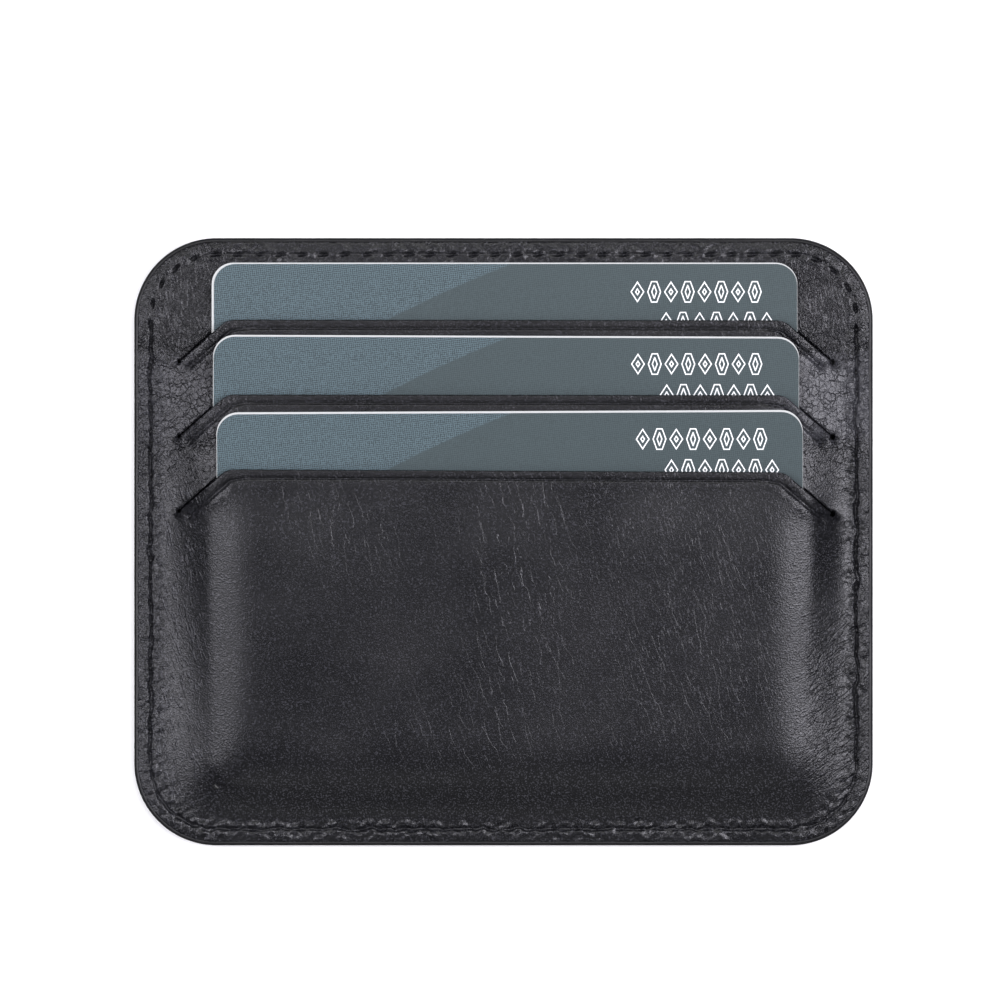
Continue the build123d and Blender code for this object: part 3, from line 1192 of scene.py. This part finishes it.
def leatherMaterial(name, values):
    s = Shader(name)
    place = s.place()
    x, y = s.parts(place)
    lightens, relief = values["lightens"], values["relief"]
    outward = abs(x)
    side = s.rise(outward, *values["side"])
    rim = s.rise(outward, *values["rim"])
    aboveSlits = s.rise(y, *values["aboveSlits"])
    besideSlits = s.band(y, *values["besideSlits"])
    leftFoot = s.band(x, *values["leftFoot"]) * (1 - s.rise(y, *values["leftFootTop"]))
    lowRight = s.rise(x, *values["lowRight"]) * (1 - s.rise(y, *values["lowRightTop"]))

    speckle = s.noise(place, values["speckleScale"], 1.5)
    slow = s.noise(place, 95)
    patchy = s.fade(s.noise(place, 260, 1.5), 0.3, 0.7) * 0.7 + 0.2
    dashes = strokes(s, place, values["dashScale"], values["slant"]) * patchy
    dashes = dashes * (s.rise(x, -5, 28) * 0.75 + 0.25)
    folds = strokes(s, place, values["foldScale"], values["slant"]) * patchy * s.rise(x, 20, 30)
    streaks = dashes * (1 - side) + folds * side

    gate = s.fade(s.noise(place, 600, 1.0), 0.4, 0.56)
    cracks = crackle(s, place, values["crackScale"], 12, (500, 0.0020), 0.04) * gate
    fine = crackle(s, place, values["fineScale"], 6, (800, 0.0009), 0.12)
    cracks = cracks + fine * 0.45 * (gate * 0.6 + 0.4)
    deep = cracks * (besideSlits * 0.9 + lowRight * 0.2 + 0.1)
    deep = s.clamp((deep + longLines(s, place, values["wrinkles"]) * lowRight * 0.4) * side)

    hairs = longLines(s, place, values["hairs"]) * s.fade(s.noise(place, 500, 1.0), 0.45, 0.6)
    hairs = hairs * (leftFoot + aboveSlits * 0.8) * side
    first, second = [rivers(s, place, *vein, values["veinWidth"]) for vein in values["veins"]]
    veins = s.clamp((first + second * 0.6) * veinShare(s, x, y, values) * 1.3)

    # painted highlight between the slits, most of all on the right; painted lighter above the slits in
    # the middle and painted shade there at the sides
    between = s.band(y, *values["betweenSlitsHighlight"])
    paintedLight = between * (s.rise(x, 0, 10) * 0.85 + 0.6) + (besideSlits - between) * 0.12
    paintedLight = paintedLight * side + aboveSlits * (0.12 - side * 0.42)
    # painted highlight along the left rim and foot
    paintedLight = paintedLight + (1 - s.rise(x, *values["leftRimHighlight"])) * (1 - aboveSlits) * lightens["leftRimHighlight"]
    # painted shade beside the card's left edge, above the last slit's end
    besideCardShade = s.band(x, *values["besideCardShade"]) * s.band(y, *values["besideCardShadeUp"])
    paintedLight = paintedLight + besideCardShade * lightens["besideCardShade"]
    grit = (speckle - 0.534) * (side * 0.9 + 6.7)

    marks = veins * lightens["veins"] + streaks * lightens["streaks"] + hairs * lightens["hairs"]
    # the marks and grain, with the painted highlight and painted shade added, set how far the tone goes
    # towards the lighter one
    pale = s.clamp(marks + grit + paintedLight)
    tone = s.mix(pale, values["colour"], values["markAndHighlightTone"])
    height = speckle * (side * 0.9 + rim * 0.9 + 0.7)
    height = height + streaks * relief["streaks"] + veins * relief["veins"]
    height = height + hairs * relief["hairs"] + deep * relief["cracks"]
    rough = values["roughness"] + (slow - 0.5) * 0.2 - (speckle - 0.5) * 0.25
    return s.finish({
        # the cracks are painted darker as well as sunk into the bump: painted shade along them
        "Base Color": s.mix(deep * 0.55, tone, values["crackShadeColour"]),
        "Roughness": rough - aboveSlits * side * 0.06,
        "Specular IOR Level": 0.5,
        "Normal": s.bump(height, values["bump"]),
    })


textile = {
    "lining": (0.012, 0.012, 0.014),
    "liningPitch": 0.0006,
    "liningTurn": 45,
    "pocket": (0.014, 0.014, 0.015),
    "pocketPitch": 0.00045,
}


def weaveMaterial(name, colour, pitch, turn):
    s = Shader(name)
    x, y = s.parts(s.stretch(s.place(), (1 / pitch,) * 3, turn))
    height = s.maths("SINE", x * math.tau) * s.maths("SINE", y * math.tau)
    low, high = [tuple(c * share for c in colour) for share in (0.5, 1.6)]
    return s.finish({
        "Base Color": s.mix(s.fade(height, -0.6, 0.8), low, high),
        "Roughness": 0.8, "Sheen Weight": 0.25,
        "Normal": s.bump(height, pitch * 0.25, 0.8),
    })


def mottled(name, low, high, scale, roughness, bump):
    # a finish between two tones, with fine lumps (their height and how strongly they show)
    s = Shader(name)
    lumps = s.noise(s.place(), scale, 3.0)
    return s.finish({
        "Base Color": s.mix(lumps, low, high), "Roughness": roughness, "Normal": s.bump(lumps, *bump),
    })


film = {
    "light": (0.082, 0.126, 0.146),
    "dark": (0.049, 0.072, 0.078),
    "dotShade": 0.12,              # share of the dark tone that the dots have
    "dotPitch": 0.00042,
    "dotTurn": 38,
    "backTone": (0.30, 0.34, 0.36),
    "arcCentre": (114.9, 181.8),   # from the card's upper left corner, right and down
    "arcRadius": 195.05,
    "arcBlur": 0.12,
}


def filmMaterial(name, card):
    s = Shader(name)
    place = s.place()
    x, y = s.parts(place)
    dx = x - (card["left"] + film["arcCentre"][0]) / metre
    dy = y - (card["topY"] - film["arcCentre"][1]) / metre
    far = s.maths("SQRT", dx * dx + dy * dy)
    edge = s.rise(far, film["arcRadius"] - film["arcBlur"], film["arcRadius"] + film["arcBlur"])
    fine = s.noise(place, 5200, 1.0)
    across, along = s.parts(s.stretch(place, (math.tau / film["dotPitch"],) * 3, film["dotTurn"]))
    lattice = s.maths("SINE", across) * s.maths("SINE", along)
    dots = s.fade(lattice + (fine - 0.5) * 3.0, -0.7, 0.9) * (edge * 0.35 + 0.45)
    tone = s.mix(edge, film["dark"], film["light"])
    return s.finish({
        "Base Color": s.mix(dots, tone, tuple(c * film["dotShade"] for c in film["dark"])),
        "Roughness": 0.38, "Coat Weight": 0.2, "Coat Roughness": 0.2,
        "Normal": s.bump(fine, 0.00001, 0.4),
    })


def plainPlastic(name, colour, roughness, scale, spread):
    low = tuple(c * (1 - spread) for c in colour)
    return mottled(name, low, colour, scale, roughness, (0.00001, 0.4))


chip = {
    "gold": [(0.62, 0.45, 0.18), (0.83, 0.66, 0.32)],
    "groove": (0.08, 0.06, 0.03),
    "grooveWide": (0.08, 0.16),    # where a groove is full and where it ends, from its middle
    "upright": 1.9,                # places of the grooves, from the plate's middle
    "row": 2.9,
}


def chipMaterial(name, card):
    s = Shader(name)
    place = s.place()
    x, y = s.parts(place)
    low, high = cadBoxMm(f"{name}_card_chip")
    across = abs(x - (low[0] + high[0]) / 2 / metre)
    up = abs(y - (low[1] + high[1]) / 2 / metre)

    def groove(value, at):
        return 1 - s.rise(abs(value - at / metre), *chip["grooveWide"])

    rows = groove(up, chip["row"]) + groove(up, 0.0)
    outside = s.rise(across, chip["upright"] - 0.1, chip["upright"] + 0.1)
    grooves = s.clamp(groove(across, chip["upright"]) + rows * outside)
    brushed = s.noise(s.stretch(place, (400, 6000, 400)), 1.0)
    tone = s.mix(grooves, s.mix(brushed, *chip["gold"]), chip["groove"])
    return s.finish({
        "Base Color": tone, "Metallic": 1 - grooves, "Roughness": 0.28,
        "Normal": s.bump(grooves * -1.0 + brushed * 0.05, 0.00005, 0.8),
    })


frontPiece = frontLeather()
print("front leather", len(frontPiece.data.polygons))
backPiece = backLeather()
coatPiece = edgeCoat()
needlePiece = lockstitchThread("needleThread", rimHigh, 1, "needle_thread")
bobbinPiece = lockstitchThread("bobbinThread", rimLow, -1, "bobbin_thread")
print("rim and threads")
pocketPieces = [pocketCloth(k) for k in range(3)]
liningPiece = backCloth()
print("cloth")

blackLeather = leatherMaterial("blackLeather", leather)
paint(frontPiece, blackLeather)
paint(backPiece, blackLeather)
dullCoat = mottled("edgeCoat", (0.008, 0.008, 0.009), (0.018, 0.018, 0.019), 900, 0.42, (0.00005, 0.7))
waxed = mottled("waxedThread", (0.006, 0.006, 0.007), (0.03, 0.03, 0.033), 9000, 0.5, (0.00004, 0.7))
paint(coatPiece, dullCoat)
paint(needlePiece, waxed)
paint(bobbinPiece, waxed)
pocketWeave = weaveMaterial("pocketWeave", textile["pocket"], textile["pocketPitch"], 0)
for piece in pocketPieces:
    paint(piece, pocketWeave)
liningTwill = weaveMaterial(
    "liningTwill", textile["lining"], textile["liningPitch"], textile["liningTurn"],
)
paint(liningPiece, liningTwill)

whiteStock = plainPlastic("whiteStock", (0.5, 0.51, 0.51), 0.45, 1500, 0.06)
whiteInk = plainPlastic("whiteInk", (0.86, 0.87, 0.88), 0.45, 1500, 0.06)
backFilm = plainPlastic("backFilm", film["backTone"], 0.4, 2200, 0.15)
stripeTape = plainPlastic("stripeTape", (0.014, 0.012, 0.011), 0.3, 2600, 0.4)
nodes = frame["nodes"]
for name, card in zip(cardNames, cards):
    paint(nodes[f"{name}_card_core"], whiteStock)
    paint(nodes[f"{name}_card_front_print"], filmMaterial(f"{name}Film", card))
    paint(nodes[f"{name}_card_back_print"], backFilm)
    paint(nodes[f"{name}_card_stripe"], stripeTape)
    paint(nodes[f"{name}_card_chip"], chipMaterial(name, card))
    paint(cardMark(name, card), whiteInk)
print("cards")

studio = {
    "floorSize": 6.0,
    "worldStrength": 0.8,
    "cameraAt": (-0.00051, 0.0061),
    "cameraHeight": 3.0,
    "viewWidth": 0.1462,
    "lightReach": 0.9,
    "lightForward": 0.06,
    "sideBoxes": [             # side, degrees from straight above, width, watts for each metre of width
        (-1, 36, 0.3, 12.6), (1, 36, 0.32, 18.8),
    ],
    "tint": (0.97, 0.955, 1.04),
    "sideDepth": 0.7,
    "endBoxes": [(1, 38, 1.3), (-1, 42, 0.3)],       # end, degrees, watts
    "endSize": (0.7, 0.25),
}


def paleFloor():
    s = Shader("paleFloor")
    cloud = s.noise(s.place(), 3.0)
    tone = s.mix(cloud, (0.97, 0.97, 0.97), (1.0, 1.0, 1.0))
    return s.finish({"Base Color": tone, "Roughness": 0.9, "Specular IOR Level": 0.0})


def makeFloor():
    half = studio["floorSize"] / 2
    corners = [(-half, -half, 0), (half, -half, 0), (half, half, 0), (-half, half, 0)]
    floor = makeMesh("floor", corners, [(0, 1, 2, 3)], smooth=False)
    floor.location.z = -0.00002
    paint(floor, paleFloor())
    floor.visible_glossy = False


def areaLight(name, place, target, size, power, tint=(1, 1, 1)):
    data = bpy.data.lights.new(name, "AREA")
    data.shape = "RECTANGLE"
    data.size, data.size_y = size
    data.energy, data.color = power, tint
    lamp = bpy.data.objects.new(name, data)
    lamp.location = place
    aim = Vector(target) - Vector(place)
    lamp.rotation_mode = "QUATERNION"
    lamp.rotation_quaternion = aim.to_track_quat("-Z", "Y")
    bpy.context.scene.collection.objects.link(lamp)


def makeStudio():
    scene = bpy.context.scene
    world = bpy.data.worlds.new("studioWorld")
    world.use_nodes = True
    background = world.node_tree.nodes["Background"]
    background.inputs["Color"].default_value = (1, 1, 1, 1)
    background.inputs["Strength"].default_value = studio["worldStrength"]
    scene.world = world
    world.cycles_visibility.glossy = False
    scene.view_settings.view_transform = "Standard"
    makeFloor()
    centre = (0, 0, 0)
    reach = studio["lightReach"]
    for side, lean, wide, glow in studio["sideBoxes"]:
        lean = math.radians(lean) * side
        place = (reach * math.sin(lean), studio["lightForward"], reach * math.cos(lean))
        size = (wide, studio["sideDepth"])
        areaLight("sideSoftbox", place, centre, size, glow * wide, studio["tint"])
    for end, lean, power in studio["endBoxes"]:
        lean = math.radians(lean) * end
        place = (0, reach * math.sin(lean), reach * math.cos(lean))
        areaLight("endSoftbox", place, centre, studio["endSize"], power)
    camera = bpy.data.cameras.new("camera")
    camera.sensor_width = 36
    x, y = studio["cameraAt"]
    reach = studio["cameraHeight"]
    camera.lens = camera.sensor_width * reach / studio["viewWidth"]
    camera.clip_start, camera.clip_end = 0.01, 20
    eye = bpy.data.objects.new("camera", camera)
    eye.location = (x, y, reach + rimHigh / metre)
    scene.collection.objects.link(eye)
    scene.camera = eye


makeStudio()
print("studio")
